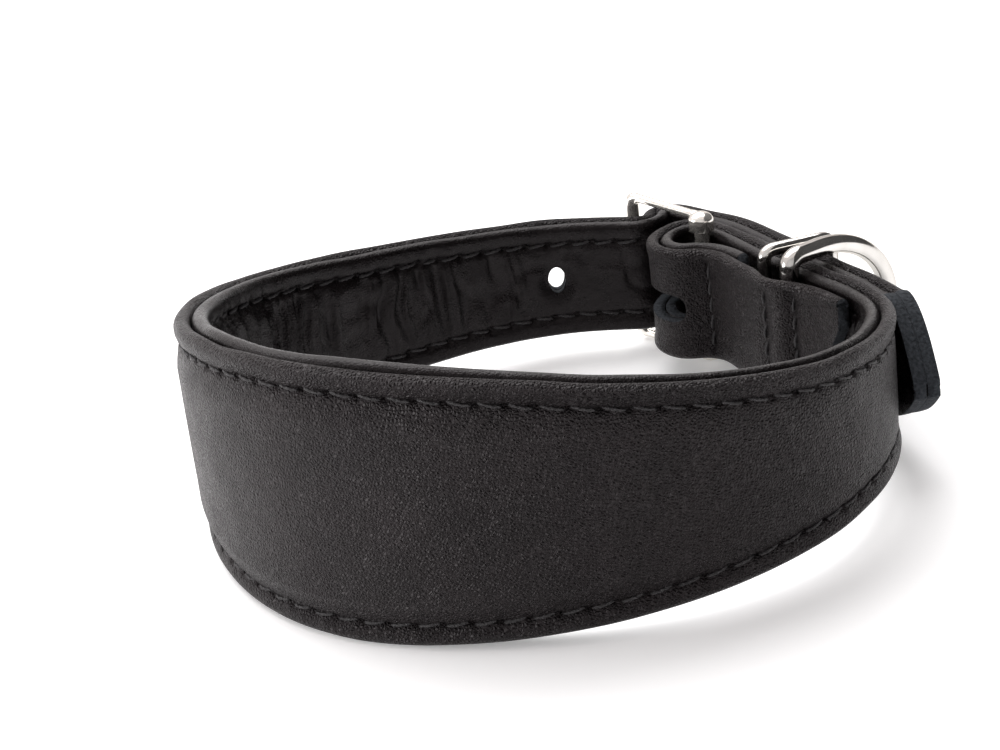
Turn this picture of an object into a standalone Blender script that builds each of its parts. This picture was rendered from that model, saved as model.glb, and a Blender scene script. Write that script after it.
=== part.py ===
"""Padded leather sighthound collar, buckled and standing on its edge.

One long strap of two leather layers (outer and lining) runs from the pointed
billet tip, through the ring, the keeper and the buckle, round the neck opening
and back to the heel bar of the buckle, where it folds inward and is sewn down.
Run with: blender --background --python part.py
"""
import math

import bmesh
import bpy
import numpy as np

MM = 0.001                     # every size below is in millimetres
FIT_GAP = 0.3                  # clearance between pieces that touch

# ---- driving dimensions --------------------------------------------------
STRAP_WIDTH = 25.0             # one inch strap at both ends
FRONT_EXTRA = 29.5             # how much wider the front panel is
FRONT_REACH = 88.0             # how far the widening runs to each side
FRONT_PLACE = 285.0            # widest point, measured from the billet tip
LAYER = 2.5                    # each leather layer at the strap ends
LAYER_EXTRA = 0.7              # turned leather is thicker at the front
PAD_SWELL = 1.6                # how far the padding pushes each layer out
PAD_REACH = 75.0               # how far the swell runs to each side
EDGE_BAND = 7.5                # unpadded margin inside each edge
STITCH_INSET = 4.4             # edge stitching, measured from the strap edge
THREAD_RADIUS = 0.3

RING_HEIGHT = 23.36            # middle of the strap at the plan's datum
LEAN_X = -0.030                # the ring stands on its wide front and on the
LEAN_Y = -0.068                # buckle's corner, so its middle line slopes
LEAN_DATUM_Y = -60.0
ORIGIN = (11.06, -51.73)        # plan point that becomes the world origin

BILLET_TAPER = 8.0             # length of the pointed end
BILLET_POINT = -3.0            # height of the point above the strap's middle
TAIL_CUT = 12.0                # length of the slanting cut on the fold's end
LINING_END = 37.5              # how much shorter the lining is at that end

HOLE_PITCH = 25.4
FIRST_HOLE = 22.0              # hole nearest the tip
HOLE_COUNT = 5
HOLE_RADIUS = 2.7
PRONG_HOLE = 3                 # the hole in use, counted from zero

OUTER_BAR = (33.2, 11.4)       # plan places of the upright metal bars
HEEL_BAR = (46.3, -8.1)
KEEPER_BAR = (56.2, -31.4)
RING_BAR = (60.0, -40.3)

FRAME_HALF_HEIGHT = 16.2       # side bars, from the strap's middle
FRAME_RADIUS = 1.0
OUTER_RADIUS = 1.6             # the bar the strap bends round is thicker
POST_RADIUS = 2.7              # domed ends of the heel bar
POST_TOP = 17.4
HEEL_RADIUS = 1.6
FRAME_CORNER = 3.0
PRONG_RADIUS = 1.2
LOOP_RADIUS = 3.8
LOOP_HALF_HEIGHT = 1.4
SLOT_HALF_HEIGHT = 3.2
KEEPER_HALF_HEIGHT = 15.0
KEEPER_RADIUS = 1.4
KEEPER_DEPTH = 15.8
KEEPER_AIM = 21.0              # degrees from +X
RING_HALF_HEIGHT = 16.0
RING_RADIUS = 2.0
RING_DEPTH = 29.2
RING_AIM = 38.5
SEAM_PLACES = (9.5, 31.7, 39.2)   # sewn lines on the fold, from the heel bar

# ---- middle line of the strap in plan ------------------------------------
NECK_POINTS = [(9.0, 7.2), (-13.0, 1.0), (-42.0, -16.0), (-56.0, -37.0),
               (-60.0, -67.0), (-40.0, -104.0), (0.0, -116.0), (35.0, -114.0),
               (64.0, -96.0), (76.0, -66.0)]
CHAPE_POINTS = [(69.6, -48.6), (61.8, -33.0), (56.2, -19.0), (51.0, -5.9)]
BUCKLE_POINTS = [(53.7, 0.4), (48.8, 4.8), (44.7, 9.9), (41.9, 12.7), (37.8, 10.8),
                 (38.1, 7.0), (34.1, 4.6), (29.3, 6.0), (18.2, 7.5)]
NOSE_POINTS = [(45.4, 1.4), (40.0, -2.0), (36.8, -7.6), (36.9, -13.4), (40.6, -17.3)]
# The billet lies outside the chape and the fold inside it, so both are given
# as (distance from the heel bar, distance outward from the chape's middle).
BILLET_PLACES = [(68.0, 8.2), (60.0, 6.6), (50.0, 6.0), (38.0, 6.0),
                 (26.0, 5.9), (15.0, 5.85), (5.0, 5.8)]
FOLD_PLACES = [(7.0, -9.4), (14.0, -6.1), (21.5, -7.3), (27.0, -6.5),
               (32.6, -9.1), (38.5, -5.2), (46.0, -3.4), (54.5, -3.2)]

BLACK_GRAIN = (0.018, 0.018, 0.020, 1.0)
BLACK_LINING = (0.012, 0.011, 0.011, 1.0)
BLACK_THREAD = (0.010, 0.010, 0.010, 1.0)
GREY_FOAM = (0.25, 0.25, 0.26, 1.0)
NICKEL = (0.78, 0.77, 0.75, 1.0)


# ---- small helpers --------------------------------------------------------
def clear_scene():
    for item in list(bpy.data.objects):
        bpy.data.objects.remove(item, do_unlink=True)


def material(name, colour, roughness, metallic=0.0):
    made = bpy.data.materials.new(name)
    made.use_nodes = True
    shader = made.node_tree.nodes["Principled BSDF"]
    shader.inputs["Base Color"].default_value = colour
    shader.inputs["Roughness"].default_value = roughness
    shader.inputs["Metallic"].default_value = metallic
    return made


def to_world(plan_x, plan_y, height):
    """Plan millimetres to world metres."""
    return ((plan_x - ORIGIN[0]) * MM, (plan_y - ORIGIN[1]) * MM, height * MM)


def middle_height(plan_x, plan_y):
    """Height of the strap's middle line above the floor at a plan point."""
    return RING_HEIGHT + LEAN_X * plan_x + LEAN_Y * (plan_y - LEAN_DATUM_Y)


def unit(vector):
    return np.array(vector, float) / np.linalg.norm(vector)


def turned(vector):
    """The plan direction a quarter turn to the right of the given one."""
    return np.array([vector[1], -vector[0]])


# ---- the strap's path -----------------------------------------------------
def smooth_curve(points):
    """Uniform cubic B-spline that starts and ends on its end points."""
    control = np.array(points, float)
    control = np.vstack([2 * control[0] - control[1], control,
                         2 * control[-1] - control[-2]])
    pieces = []
    for index in range(len(control) - 3):
        a, b, c, d = control[index:index + 4]
        steps = int(np.clip(round(np.linalg.norm(c - b) / 6.0), 3, 6))
        u = (np.arange(steps) / steps)[:, None]
        pieces.append(((1 - u) ** 3 * a + (3 * u ** 3 - 6 * u ** 2 + 4) * b
                       + (-3 * u ** 3 + 3 * u ** 2 + 3 * u + 1) * c + u ** 3 * d) / 6)
    pieces.append(control[-2][None, :])
    return np.vstack(pieces)


class Path:
    """A plan curve with its distances and outward (right-hand) directions."""

    def __init__(self, points):
        self.points = smooth_curve(points)
        steps = np.linalg.norm(np.diff(self.points, axis=0), axis=1)
        self.distance = np.concatenate([[0.0], np.cumsum(steps)])
        self.length = self.distance[-1]
        tangent = np.gradient(self.points, self.distance, axis=0)
        tangent /= np.linalg.norm(tangent, axis=1)[:, None]
        self.outward = np.stack([tangent[:, 1], -tangent[:, 0]], axis=1)

    def at(self, distance):
        point = [np.interp(distance, self.distance, self.points[:, k]) for k in (0, 1)]
        outward = [np.interp(distance, self.distance, self.outward[:, k]) for k in (0, 1)]
        return np.array(point), unit(outward)

    def beside(self, before_end, outward):
        """A point `outward` mm beside the path, `before_end` mm from its end."""
        point, direction = self.at(self.length - before_end)
        return tuple(point + outward * direction)


def strap_path():
    chape = Path(NECK_POINTS + CHAPE_POINTS)
    billet = [chape.beside(*place) for place in BILLET_PLACES]
    fold = [chape.beside(*place) for place in FOLD_PLACES]
    whole = Path(billet + BUCKLE_POINTS + NECK_POINTS + CHAPE_POINTS + NOSE_POINTS + fold)
    return whole, chape


def bump(distance, reach):
    return math.exp(-((distance - FRONT_PLACE) / reach) ** 2)


def half_width(distance):
    return (STRAP_WIDTH + FRONT_EXTRA * bump(distance, FRONT_REACH)) / 2


def swell(distance):
    return PAD_SWELL * bump(distance, PAD_REACH)


def thickness(distance):
    return LAYER + LAYER_EXTRA * bump(distance, FRONT_REACH)


def edge_heights(distance, length):
    """Lower and upper edge of the strap, from its middle line."""
    half = half_width(distance)
    low, high = -half, half
    if distance < BILLET_TAPER:
        share = distance / BILLET_TAPER
        low = BILLET_POINT - 1.0 + share * (low - BILLET_POINT + 1.0)
        high = BILLET_POINT + 1.0 + share * (high - BILLET_POINT - 1.0)
    tail = distance - (length - TAIL_CUT)
    if tail > 0:
        low = low + tail / TAIL_CUT * (half * 1.5)
    return low, high


# ---- solids ----------------------------------------------------------------
def closed_mesh(name, rings, finish, loop=False):
    """Skin a list of equal rings of world points into one closed solid."""
    mesh = bpy.data.meshes.new(name)
    shape = bmesh.new()
    layers = [[shape.verts.new(point) for point in ring] for ring in rings]
    count = len(layers[0])
    pairs = list(zip(layers, layers[1:]))
    if loop:
        pairs.append((layers[-1], layers[0]))
    for first, second in pairs:
        for index in range(count):
            after = (index + 1) % count
            shape.faces.new((first[index], first[after], second[after], second[index]))
    if not loop:
        shape.faces.new(list(reversed(layers[0])))
        shape.faces.new(layers[-1])
    bmesh.ops.recalc_face_normals(shape, faces=shape.faces)
    shape.to_mesh(mesh)
    shape.free()
    mesh.materials.append(finish)
    made = bpy.data.objects.new(name, mesh)
    bpy.context.scene.collection.objects.link(made)
    return made


def strap_solid(name, path, start, end, section, finish):
    """A solid along the strap; section(distance) gives (outward, height) points."""
    places = [d for d in path.distance if start < d < end]
    places = [start] + [d for d in places if d - start > 0.4 and end - d > 0.4] + [end]
    rings = []
    for distance in places:
        point, outward = path.at(distance)
        middle = middle_height(*point)
        rings.append([to_world(*(point + offset * outward), middle + height)
                      for offset, height in section(distance)])
    return closed_mesh(name, rings, finish)


def layer_section(side, length):
    def section(distance):
        low, high = edge_heights(distance, length)
        margin = min(EDGE_BAND, 0.3 * (high - low))
        near = FIT_GAP / 2
        far = near + thickness(distance)
        proud = swell(distance)
        points = [(near, low), (far, low), (far + proud, low + margin),
                  (far + proud, high - margin), (far, high), (near, high),
                  (near + proud, high - margin), (near + proud, low + margin)]
        return [(side * offset, height) for offset, height in points]
    return section


def pad_section(distance):
    half = half_width(distance) - EDGE_BAND - 1.0
    depth = swell(distance) - FIT_GAP / 2
    return [(-depth, -half), (depth, -half), (depth, half), (-depth, half)]


def thread_section(side, upper, length):
    def section(distance):
        low, high = edge_heights(distance, length)
        edge, inward = (high, -1.0) if upper else (low, 1.0)
        surface = FIT_GAP / 2 + thickness(distance) + swell(distance) * STITCH_INSET / EDGE_BAND
        near = surface + FIT_GAP
        height = edge + inward * STITCH_INSET
        return [(side * near, height - THREAD_RADIUS), (side * near, height + THREAD_RADIUS),
                (side * (near + 2 * THREAD_RADIUS), height)]
    return section


def planar_tube(name, bar, aim, outline, radii, finish, sides=10):
    """A closed wire loop in the upright plane that leaves `bar` towards `aim`.

    The outline is (away from the bar, height) points in mm. The object's
    origin is on the bar, at the strap's middle height.
    """
    outline = np.array(outline, float)
    count = len(outline)
    along = np.array([math.cos(aim), math.sin(aim)])
    middle = middle_height(*bar)
    across = np.array([-along[1], along[0]])
    rings = []
    for index in range(count):
        before, here, after = (outline[(index + k) % count] for k in (-1, 0, 1))
        tangent = unit(unit(after - here) + unit(here - before))
        normal = turned(tangent)
        ring = []
        for side in range(sides):
            angle = 2 * math.pi * (side + 0.5) / sides
            flat = here + radii[index] * math.cos(angle) * normal
            plan = along * flat[0] + across * radii[index] * math.sin(angle)
            slope = middle_height(*(plan + bar)) - middle
            ring.append((plan[0] * MM, plan[1] * MM, (flat[1] + slope) * MM))
        rings.append(ring)
    made = closed_mesh(name, rings, finish, loop=True)
    made.location = to_world(*bar, middle)
    return made


def rounded_outline(corners, radius, steps=3):
    """Corner points replaced by short arcs; the corners go round in order."""
    points = []
    count = len(corners)
    for index in range(count):
        before, here, after = (np.array(corners[(index + k) % count], float)
                               for k in (-1, 0, 1))
        back, forward = unit(before - here), unit(after - here)
        start, end = here + radius * back, here + radius * forward
        for step in range(steps + 1):
            u = step / steps
            bend = (1 - u) ** 2 * start + 2 * u * (1 - u) * here + u ** 2 * end
            points.append(tuple(bend))
    return points


def cutter(name, mesh_object):
    mesh_object.name = name
    mesh_object.hide_render = True
    mesh_object.display_type = "WIRE"
    return mesh_object


def upright_block(name, centre, along, half_size, height, finish):
    """A block with plan half sizes (along, across) and half height."""
    across = turned(along)
    rings = []
    for level in (-half_size[2], half_size[2]):
        rings.append([to_world(*(np.array(centre) + a * half_size[0] * along
                                 + b * half_size[1] * across), height + level)
                      for a, b in ((-1, -1), (1, -1), (1, 1), (-1, 1))])
    return closed_mesh(name, rings, finish)


def level_rod(name, start, end, radius, height, finish, sides=10):
    """A level round rod between two plan points at two heights."""
    heights = height if isinstance(height, tuple) else (height, height)
    start, end = np.array([*start, heights[0]]), np.array([*end, heights[1]])
    axis = unit(end - start)
    side = unit(np.cross(axis, (0, 0, 1)))
    up = np.cross(side, axis)
    rings = []
    for centre in (start, end):
        rings.append([to_world(*(centre + radius * (math.cos(t) * side + math.sin(t) * up)))
                      for t in np.arange(sides) * 2 * math.pi / sides])
    return closed_mesh(name, rings, finish)


def apply_boolean(target, tool, operation):
    change = target.modifiers.new(tool.name, "BOOLEAN")
    change.object = tool
    change.operation = operation
    change.solver = "EXACT"


# ---- sub-parts --------------------------------------------------------------
def strap_cutters(path, frame_along, finish):
    """Punched holes and the slot in the fold, shared by both layers."""
    tools = []
    for index in range(HOLE_COUNT):
        if index == PRONG_HOLE:
            continue
        point, outward = path.at(FIRST_HOLE + index * HOLE_PITCH)
        height = middle_height(*point)
        reach = LAYER + 0.45
        tools.append(cutter(f"cut_hole_{index}", level_rod(
            "hole", point - reach * outward, point + reach * outward, HOLE_RADIUS,
            height, finish)))
    outward = -turned(frame_along)
    start, end = prong_line()
    direction = unit(end - start)
    middle = middle_height(*HEEL_BAR)
    tools.append(cutter("cut_prong_hole", level_rod(
        "hole", start + 12.2 * direction, start + 26.2 * direction, HOLE_RADIUS,
        middle, finish)))
    heel = np.array(HEEL_BAR)
    for name, place, size in (("nose", (-6.5, -4.0), (5.0, 9.5)),
                              ("front", (1.5, -10.5), (4.4, 3.5)),
                              ("back", (-1.6, 3.7), (3.2, 3.7))):
        centre = heel + place[0] * frame_along + place[1] * outward
        tools.append(cutter(f"cut_slot_{name}", upright_block(
            "slot", centre, frame_along, (*size, SLOT_HALF_HEIGHT), middle, finish)))
    tools.append(cutter("cut_slot_loop", upright_disc(
        "slot", HEEL_BAR, LOOP_RADIUS + FIT_GAP, SLOT_HALF_HEIGHT, middle, finish)))
    return tools


def frame_direction():
    """Plan direction from the outer bar to the heel bar."""
    return unit(np.array(HEEL_BAR) - np.array(OUTER_BAR))


def prong_line():
    """Plan ends of the prong's shank: heel bar, and on top of the outer bar."""
    outward = -turned(frame_direction())
    rest = OUTER_RADIUS + PRONG_RADIUS + FIT_GAP
    return np.array(HEEL_BAR) + 0.4 * outward, np.array(OUTER_BAR) + rest * outward


def make_leather(path):
    grain = material("grain_leather", BLACK_GRAIN, 0.55)
    soft = material("lining_leather", BLACK_LINING, 0.62)
    lining_end = path.length - LINING_END
    outer = strap_solid("outer_leather", path, 0.0, path.length,
                        layer_section(1.0, path.length), grain)
    lining = strap_solid("lining_leather", path, 0.0, lining_end,
                         layer_section(-1.0, path.length), soft)
    for tool in strap_cutters(path, frame_direction(), grain):
        apply_boolean(outer, tool, "DIFFERENCE")
        apply_boolean(lining, tool, "DIFFERENCE")
    return outer, lining


def make_padding(path):
    foam = material("foam", GREY_FOAM, 0.9)
    reach = PAD_REACH * 1.25
    return strap_solid("front_padding", path, FRONT_PLACE - reach,
                       FRONT_PLACE + reach, pad_section, foam)


def make_edge_threads(path):
    """Edge stitching wherever no other layer covers it."""
    thread = material("thread", BLACK_THREAD, 0.7)
    for face, side, start, end in (("outer", 1.0, 12.0, 416.0),
                                   ("lining", -1.0, 118.0, 424.0)):
        for edge, upper in (("upper", True), ("lower", False)):
            strap_solid(f"{face}_{edge}_thread", path, start, end,
                        thread_section(side, upper, path.length), thread)


def make_fold_seams(path, chape):
    """Three upright rows of stitching that hold the fold's metalwork."""
    thread = material("seam_thread", BLACK_THREAD, 0.7)
    for place, name in zip(SEAM_PLACES, ("buckle_seam", "keeper_seam", "ring_seam")):
        aim_point = np.array(chape.beside(place, -7.0))
        fold_part = path.distance > path.length - 60.0
        gaps = np.linalg.norm(path.points - aim_point, axis=1)
        gaps[~fold_part] = np.inf
        distance = path.distance[int(np.argmin(gaps))]
        point, outward = path.at(distance)
        centre = point + (FIT_GAP / 2 + LAYER + FIT_GAP + THREAD_RADIUS) * outward
        upright_block(name, centre, turned(outward),
                      (THREAD_RADIUS, THREAD_RADIUS, STRAP_WIDTH / 2 - 3.0),
                      middle_height(*point), thread)


def make_frame(nickel):
    """Cast buckle frame; it turns about its heel bar."""
    length = float(np.linalg.norm(np.array(HEEL_BAR) - np.array(OUTER_BAR)))
    half = FRAME_HALF_HEIGHT
    corners = [(0, -half), (0, half), (length, half), (length, -half)]
    outline = rounded_outline(corners, FRAME_CORNER)
    radii = []
    for away, _ in outline:
        bar = HEEL_RADIUS if away < length / 2 else OUTER_RADIUS
        corner = min(away, length - away) / FRAME_CORNER
        radii.append(FRAME_RADIUS + (bar - FRAME_RADIUS) * max(0.0, 1 - corner) ** 0.5)
    towards_outer = math.atan2(OUTER_BAR[1] - HEEL_BAR[1], OUTER_BAR[0] - HEEL_BAR[0])
    buckle = planar_tube("buckle_frame", HEEL_BAR, towards_outer, outline, radii, nickel)
    for name, sign in (("upper", 1.0), ("lower", -1.0)):
        post = heel_post(f"join_{name}_post", sign, nickel)
        apply_boolean(buckle, cutter(f"join_{name}_post", post), "UNION")
    return buckle


def heel_post(name, sign, finish, sides=16):
    """Thick domed end of the heel bar, just past the strap's edge."""
    dome = POST_TOP - 1.6
    profile = [(STRAP_WIDTH / 2 + 0.45, POST_RADIUS - 0.3), (STRAP_WIDTH / 2 + 0.9, POST_RADIUS),
               (dome, POST_RADIUS), (POST_TOP - 0.6, POST_RADIUS * 0.78),
               (POST_TOP, POST_RADIUS * 0.35)]
    rings = []
    for level, radius in profile:
        ring = []
        for side in range(sides):
            angle = 2 * math.pi * side / sides
            spot = np.array(HEEL_BAR) + radius * np.array([math.cos(angle), math.sin(angle)])
            ring.append(to_world(*spot, middle_height(*spot) + sign * level))
        rings.append(ring)
    return closed_mesh(name, rings, finish)


def make_prong(nickel):
    """Tongue: a flat loop round the heel bar with a round shank."""
    start, end = prong_line()
    direction = unit(end - start)
    height = middle_height(*HEEL_BAR)
    tip = end + 2.6 * direction
    prong = level_rod("prong", start + 2.8 * direction, tip, PRONG_RADIUS, height, nickel)
    loop = upright_disc("prong_loop", HEEL_BAR, LOOP_RADIUS, LOOP_HALF_HEIGHT, height, nickel)
    bore = upright_disc("prong_bore", HEEL_BAR, HEEL_RADIUS + FIT_GAP,
                        LOOP_HALF_HEIGHT + 1.0, height, nickel)
    apply_boolean(prong, cutter("join_loop", loop), "UNION")
    apply_boolean(prong, cutter("cut_bore", bore), "DIFFERENCE")
    move_origin(prong, to_world(*HEEL_BAR, height))
    return prong


def upright_disc(name, centre, radius, half_height, height, finish, sides=16):
    angles = np.arange(sides) * 2 * math.pi / sides
    rings = [[to_world(centre[0] + radius * math.cos(t), centre[1] + radius * math.sin(t),
                       height + level) for t in angles]
             for level in (-half_height, half_height)]
    return closed_mesh(name, rings, finish)


def move_origin(item, place):
    """Put an object's origin at `place` without moving its shape."""
    for vertex in item.data.vertices:
        vertex.co = [a - b for a, b in zip(vertex.co, place)]
    item.location = place


def make_keeper(nickel):
    half = KEEPER_HALF_HEIGHT
    corners = [(0, -half), (0, half), (KEEPER_DEPTH, half), (KEEPER_DEPTH, -half)]
    outline = rounded_outline(corners, 2.6)
    return planar_tube("metal_keeper", KEEPER_BAR, math.radians(KEEPER_AIM), outline,
                       [KEEPER_RADIUS] * len(outline), nickel, sides=8)


def make_lead_ring(nickel):
    """D-ring: a straight upright bar and a half-round bow."""
    half = RING_HALF_HEIGHT
    straight = 8.0
    corners = rounded_outline([(straight, -half), (0, -half), (0, half), (straight, half)],
                              3.0)[4:-4]
    bow = []
    steps = 14
    for step in range(steps + 1):
        angle = math.pi * step / steps
        bow.append((straight + (RING_DEPTH - straight) * math.sin(angle),
                    half * math.cos(angle)))
    outline = corners + bow
    return planar_tube("lead_ring", RING_BAR, math.radians(RING_AIM), outline,
                       [RING_RADIUS] * len(outline), nickel)


def main():
    clear_scene()
    path, chape = strap_path()
    nickel = material("nickel", NICKEL, 0.16, metallic=1.0)
    make_leather(path)
    make_padding(path)
    make_edge_threads(path)
    make_fold_seams(path, chape)
    make_frame(nickel)
    make_prong(nickel)
    make_keeper(nickel)
    make_lead_ring(nickel)


main()
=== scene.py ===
"""Looks of a black padded leather dog collar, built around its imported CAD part.

Every leather layer, stitch and metal loop is made here in fine detail on the
same middle line as the CAD part, and stands for the plain CAD node it covers.
Sizes are in millimetres until a mesh is made; the world is in metres.
"""

import math

import bpy
import numpy as np
from mathutils import Matrix, Vector


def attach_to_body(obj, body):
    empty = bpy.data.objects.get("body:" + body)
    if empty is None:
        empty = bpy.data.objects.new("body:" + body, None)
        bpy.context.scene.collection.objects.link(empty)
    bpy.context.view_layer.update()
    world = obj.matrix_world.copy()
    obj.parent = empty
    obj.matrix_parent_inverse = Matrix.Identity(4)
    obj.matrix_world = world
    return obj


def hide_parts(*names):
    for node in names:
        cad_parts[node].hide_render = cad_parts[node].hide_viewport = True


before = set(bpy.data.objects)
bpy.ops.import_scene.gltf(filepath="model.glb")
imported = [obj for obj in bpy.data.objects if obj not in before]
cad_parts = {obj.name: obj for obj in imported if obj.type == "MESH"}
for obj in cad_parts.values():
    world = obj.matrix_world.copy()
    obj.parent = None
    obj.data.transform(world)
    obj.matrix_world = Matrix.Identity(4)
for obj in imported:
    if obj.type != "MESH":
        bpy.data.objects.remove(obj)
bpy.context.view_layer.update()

MM = 0.001

# ---- the strap's driving dimensions, as in the CAD part ---------------------
STRAP_WIDTH = 25.0
FRONT_EXTRA = 29.5
FRONT_REACH = 88.0
FRONT_PLACE = 285.0
LAYER = 2.5
LAYER_EXTRA = 0.7
PAD_SWELL = 1.6
PAD_REACH = 75.0
LAYER_GAP = 0.15
RING_HEIGHT = 23.36
LEAN_X = -0.030
LEAN_Y = -0.068
LEAN_DATUM_Y = -60.0
ORIGIN = (11.06, -51.73)
BILLET_POINT = -3.0
TAIL_CUT = 12.0
LINING_END = 37.5
HOLE_PITCH = 25.4
FIRST_HOLE = 22.0
HOLE_COUNT = 5
HOLE_RADIUS = 2.7
PRONG_HOLE = 3
OUTER_BAR = (33.2, 11.4)
HEEL_BAR = (46.3, -8.1)
KEEPER_BAR = (56.2, -31.4)
RING_BAR = (60.0, -40.3)
FRAME_HALF_HEIGHT = 16.2
FRAME_RADIUS = 1.0
OUTER_RADIUS = 1.6
POST_RADIUS = 2.7
POST_TOP = 17.4
FRAME_CORNER = 3.0
HEEL_RADIUS = 1.6
PRONG_RADIUS = 1.2
LOOP_RADIUS = 3.8
LOOP_HALF_HEIGHT = 1.4
SLOT_HALF_HEIGHT = 3.2
KEEPER_HALF_HEIGHT = 15.0
KEEPER_RADIUS = 1.4
KEEPER_DEPTH = 15.8
KEEPER_AIM = 21.0
RING_HALF_HEIGHT = 16.0
RING_RADIUS = 2.0
RING_DEPTH = 29.2
RING_STRAIGHT = 8.0
RING_AIM = 38.5
SEAM_PLACES = (9.5, 31.7, 39.2)

NECK_POINTS = [(9.0, 7.2), (-13.0, 1.0), (-42.0, -16.0), (-56.0, -37.0),
               (-60.0, -67.0), (-40.0, -104.0), (0.0, -116.0), (35.0, -114.0),
               (64.0, -96.0), (76.0, -66.0)]
CHAPE_POINTS = [(69.6, -48.6), (61.8, -33.0), (56.2, -19.0), (51.0, -5.9)]
BUCKLE_POINTS = [(53.7, 0.4), (48.8, 4.8), (44.7, 9.9), (41.9, 12.7), (37.8, 10.8),
                 (38.1, 7.0), (34.1, 4.6), (29.3, 6.0), (18.2, 7.5)]
NOSE_POINTS = [(45.4, 1.4), (40.0, -2.0), (36.8, -7.6), (36.9, -13.4), (40.6, -17.3)]
BILLET_PLACES = [(68.0, 8.2), (60.0, 6.6), (50.0, 6.0), (38.0, 6.0),
                 (26.0, 5.9), (15.0, 5.85), (5.0, 5.8)]
FOLD_PLACES = [(7.0, -9.4), (14.0, -6.1), (21.5, -7.3), (27.0, -6.5),
               (32.6, -9.1), (38.5, -5.2), (46.0, -3.4), (54.5, -3.2)]

# ---- detail that only the looks have ----------------------------------------
STATION_STEP = 0.5             # spacing of the leather's cross-sections
HOLE_HALF_WIDTH = 1.9          # the holes are upright ovals
HOLE_HALF_HEIGHT = 3.1
HOLE_PRESS = 0.9               # how far each layer is pressed in round a hole
HOLE_PRESS_START = 0.6         # the pressing starts this far inside the hole's radius
HOLE_PRESS_WIDTH = 3.0
UPPER_TAPER = (14.0, 1.6)      # length of the tip's cut edge, and how rounded it is
LOWER_TAPER = (12.0, 1.5)
TIP_HALF = 1.8                 # half height of the blunt point
CUT_MARGIN = 0.5               # the raw edge runs on this far past a taper
CUT_FADE = 2.0
TAIL_MARGIN = 1.5
FUSED_GAP = 0.03               # the layers are glued together along a cut edge
ROLL_PROUD = 0.25              # turned edge, thicker than the layer
PANEL_FLAT = 9.5               # inset from which a face no longer depends on its edge
PANEL_THIN = 0.15              # a face lies this much below its turned edge
STITCH_INSET = 4.4
STITCH_PITCH = 5.1
STITCH_SHARE = 0.70            # part of the pitch that one visible stitch takes
STITCH_SLANT = 0.30
STITCH_GROOVE = 0.40
NEEDLE_DEPTH = 0.80
THREAD_RADIUS = 0.33
THREAD_SUNK = 0.35             # how deep a stitch's ends go into the leather
TWIST = 0.17                   # how far the two plies show in the thread's outline
TWIST_STEP = 0.62              # how far they turn per section of a stitch
OUTER_STITCHES = (17.0, 416.0)
LINING_STITCHES = (103.0, 424.0)
OUTER_SEWN = (14.0, 3.0, 484.0, 6.0)        # start, its fade, end, its fade
LINING_SEWN = (100.0, 6.0, 430.0, 6.0)
WRINKLED = ((126.0, 14.0, 262.0, 26.0), (400.0, 16.0, 436.0, 10.0))
CREASED_FROM = (97.0, 6.0)
CREASE_DEPTH = 0.55
SEAM_SHAPES = ((0.9, 1.0), (1.5, 1.9), (1.1, 1.5))   # depth and half width of each
SEAM_STITCHES = 5
PRONG_START = 2.6              # the shank starts this far from its axis
PRONG_OVERHANG = 2.6           # and ends this far past the outer bar
KEEPER_CORNER = 2.6
RING_CORNER = 3.0

# ---- camera and studio -------------------------------------------------------
CAMERA_ELEVATION = 24.89       # degrees
CAMERA_ROLL = -6.84
CAMERA_DISTANCE = 0.530        # metres
CAMERA_AIM_HEIGHT = -0.00034
SENSOR_WIDTH = 36.0
FOCAL_LENGTH = 86.112          # 2.392 sensor widths
FLOOR_SIZE = 6.0
CARD_FOOT = 0.02
CARD_TOP = 1.5
CARD_REACH = 1.4


# ---- small helpers -------------------------------------------------------------
def ease(value):
    """Smooth 0 to 1 step of a number or an array, flat outside 0 to 1."""
    value = np.clip(value, 0.0, 1.0)
    return value * value * (3 - 2 * value)


def stretch(distance, start, start_fade, end, end_fade):
    """1 between two places along the strap, fading to 0 beyond them."""
    return ease((distance - start) / start_fade) * (1 - ease((distance - end) / end_fade))


def ridge(value, width):
    """Bell of height 1 at value 0."""
    return np.exp(-(np.asarray(value) / width) ** 2)


def wander(seed, along, across=None):
    """Smooth noise from -1 to 1 on a unit lattice, in one or two directions."""
    along = np.asarray(along, float)
    across = np.zeros_like(along) if across is None else np.asarray(across, float)
    along, across = np.broadcast_arrays(along, across)
    table = np.random.default_rng(seed).uniform(-1, 1, (64, 64))
    column, row = np.floor(along).astype(int), np.floor(across).astype(int)
    u, v = ease(along - column), ease(across - row)
    corner = [table[(column + i) % 64, (row + j) % 64] for i in (0, 1) for j in (0, 1)]
    low = corner[0] * (1 - v) + corner[1] * v
    high = corner[2] * (1 - v) + corner[3] * v
    return low * (1 - u) + high * u


def middle_height(x, y):
    return RING_HEIGHT + LEAN_X * x + LEAN_Y * (y - LEAN_DATUM_Y)


def to_world(x, y, z):
    """Plan millimetres, as numbers or arrays, to world metres."""
    return np.stack(np.broadcast_arrays((x - ORIGIN[0]) * MM, (y - ORIGIN[1]) * MM,
                                        z * MM), axis=-1)


def unit(vector):
    return np.asarray(vector, float) / np.linalg.norm(vector)


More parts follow.
